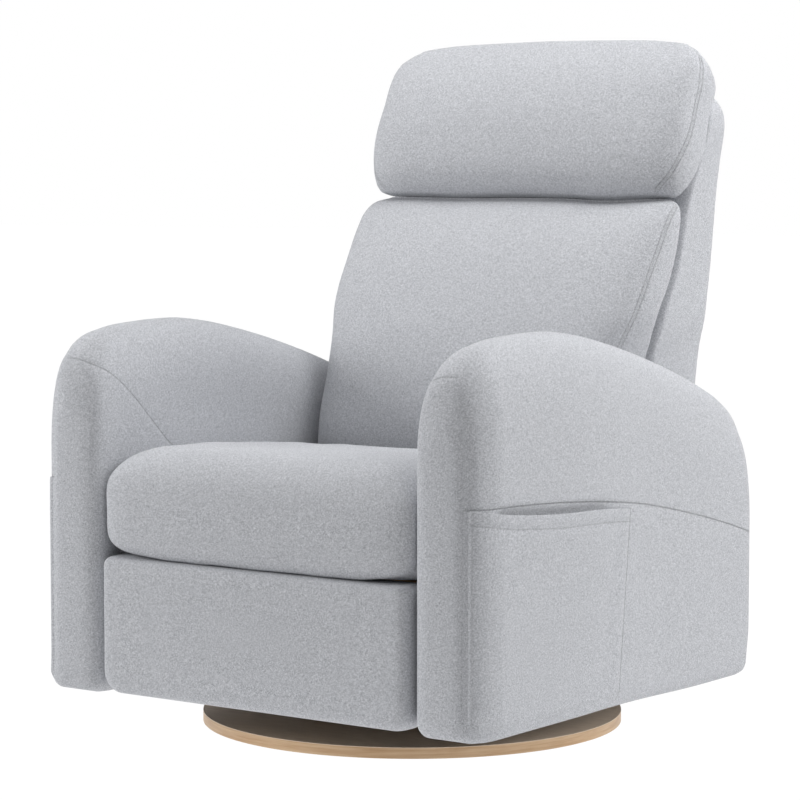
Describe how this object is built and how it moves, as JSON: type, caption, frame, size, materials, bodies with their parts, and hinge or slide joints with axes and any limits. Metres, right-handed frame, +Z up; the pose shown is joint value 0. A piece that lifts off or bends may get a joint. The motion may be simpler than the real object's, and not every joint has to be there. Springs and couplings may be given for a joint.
{
  "type": "swivel rocker recliner",
  "caption": "Upholstered armchair that swivels on a round wooden base, rocks on hanging links and reclines while a scissor footrest swings out",
  "frame": {"origin": "centre of the underside of the base pad on the swivel axis, floor at Z 0", "axes": "+X to the right seen from in front, -Y toward the front where the footrest is, +Z up"},
  "size_m": [0.77, 0.86, 1.03],
  "materials": {
    "pad_rubber": "matt",
    "plywood": "raw edge plies",
    "oak_edge": "satin lacquer",
    "dark_skin": "matt stain",
    "black_steel": "satin powder coat",
    "zinc_steel": "zinc plated",
    "bright_steel": "turned",
    "spring_steel": "oiled wire",
    "nylon": "natural",
    "buffer_rubber": "matt",
    "frame_wood": "planed",
    "dust_cloth": "nonwoven",
    "grey_cloth": "short brushed weave",
    "black_plastic": "fine grain"
  },
  "bodies": {
    "base": {"floor_pad": "pad_rubber", "base_disc": "plywood", "base_edge_band": "oak_edge", "base_top_skin": "dark_skin", "swivel_low_plate": "black_steel", "plate_screws": "bright_steel", "king_pin": "bright_steel", "king_nut": "bright_steel", "swivel_balls": "bright_steel", "ball_cage": "nylon"},
    "swivel": {"swivel_top_plate": "black_steel", "rocker_stand_right": "black_steel", "rocker_stand_left": "black_steel", "stand_tubes": "black_steel", "stand_bolts": "bright_steel", "rocker_pins": "bright_steel", "rocker_buffers": "buffer_rubber"},
    "front_links": {"front_rocker_links": "zinc_steel", "front_rocker_rod": "bright_steel"},
    "rear_links": {"rear_rocker_links": "zinc_steel", "rear_rocker_rod": "bright_steel"},
    "chassis": {"chassis_rail_right": "black_steel", "chassis_rail_left": "black_steel", "cross_tube_front": "black_steel", "cross_tube_rear": "black_steel", "side_frame_right": "black_steel", "side_frame_left": "black_steel", "seat_guides": "zinc_steel", "arm_bolts": "bright_steel", "arm_right": "grey_cloth", "arm_left": "grey_cloth", "arm_frame_right": "frame_wood", "arm_frame_left": "frame_wood", "arm_base_right": "dust_cloth", "arm_base_left": "dust_cloth", "pocket_right": "grey_cloth", "pocket_left": "grey_cloth", "release_guide": "black_plastic"},
    "release": {"release_tab": "black_plastic"},
    "seat": {"seat_base_frame": "frame_wood", "glide_blocks": "nylon", "seat_springs": "spring_steel", "seat_cushion": "grey_cloth", "footrest_plates": "black_steel"},
    "back": {"back_frame": "frame_wood", "back_brackets": "black_steel", "back_pins": "bright_steel", "back_springs": "spring_steel", "back_shell": "grey_cloth", "back_cushion": "grey_cloth", "head_cushion": "grey_cloth"},
    "foot_1": {"footrest_link_1": "zinc_steel"},
    "foot_2": {"footrest_link_2": "zinc_steel", "torque_tube": "black_steel"},
    "foot_3": {"footrest_link_3": "zinc_steel"},
    "foot_4": {"footrest_link_4": "zinc_steel"},
    "foot_5": {"footrest_link_5": "zinc_steel"},
    "footrest": {"footrest_carriers": "zinc_steel", "footrest_board": "frame_wood", "footrest_pad": "grey_cloth"}
  },
  "joints": [
    {"name": "swivel_spin", "type": "hinge", "parent": "base", "child": "swivel", "pos_m": [0, 0, 0.02], "axis": [0, 0, 1], "continuous": true},
    {"name": "front_link_swing", "type": "hinge", "parent": "swivel", "child": "front_links", "pos_m": [0, -0.095, 0.19], "axis": [1, 0, 0], "range_deg": [-10, 10]},
    {"name": "rear_link_swing", "type": "hinge", "parent": "swivel", "child": "rear_links", "pos_m": [0, 0.095, 0.19], "axis": [1, 0, 0], "range_deg": [-10, 10]},
    {"name": "chassis_rock", "type": "hinge", "parent": "front_links", "child": "chassis", "pos_m": [0, -0.125, 0.08417], "axis": [1, 0, 0], "range_deg": [-7.6, 7.6]},
    {"name": "release_pull", "type": "slide", "parent": "chassis", "child": "release", "axis": [0, 0, 1], "range_m": [0, 0.022], "stiffness_N_per_m": 400, "springref_m": -0.004},
    {"name": "seat_slide", "type": "slide", "parent": "chassis", "child": "seat", "axis": [0, -1, 0], "range_m": [0, 0.05]},
    {"name": "back_recline", "type": "hinge", "parent": "seat", "child": "back", "pos_m": [0, 0.188, 0.254], "axis": [-1, 0, 0], "range_deg": [0, 32]},
    {"name": "footrest_open", "type": "hinge", "parent": "seat", "child": "foot_1", "pos_m": [0, -0.262, 0.224], "axis": [-1, 0, 0], "range_deg": [0, 77]},
    {"name": "foot_2_turn", "type": "hinge", "parent": "foot_1", "child": "foot_2", "pos_m": [0, -0.2752, 0.14916], "axis": [1, 0, 0], "range_deg": [0, 154]},
    {"name": "foot_3_turn", "type": "hinge", "parent": "foot_1", "child": "foot_3", "pos_m": [0, -0.2884, 0.07431], "axis": [1, 0, 0], "range_deg": [0, 154]},
    {"name": "foot_4_turn", "type": "hinge", "parent": "foot_2", "child": "foot_4", "pos_m": [0, -0.27785, 0.22511], "axis": [-1, 0, 0], "range_deg": [0, 154]},
    {"name": "foot_5_turn", "type": "hinge", "parent": "foot_4", "child": "foot_5", "pos_m": [0, -0.30424, 0.07542], "axis": [1, 0, 0], "range_deg": [0, 154]},
    {"name": "panel_turn", "type": "hinge", "parent": "foot_3", "child": "footrest", "pos_m": [0, -0.2937, 0.22622], "axis": [-1, 0, 0], "range_deg": [0, 154]}
  ],
  "couplings": [
    {"joint": "rear_link_swing", "follows": "front_link_swing", "ratio": 1},
    {"joint": "chassis_rock", "follows": "front_link_swing", "ratio": -0.76},
    {"joint": "back_recline", "follows": "seat_slide", "rad_per_m": 11.17},
    {"joint": "foot_2_turn", "follows": "footrest_open", "ratio": 2},
    {"joint": "foot_3_turn", "follows": "footrest_open", "ratio": 2},
    {"joint": "foot_4_turn", "follows": "footrest_open", "ratio": 2},
    {"joint": "foot_5_turn", "follows": "footrest_open", "ratio": 2},
    {"joint": "panel_turn", "follows": "footrest_open", "ratio": 2}
  ]
}
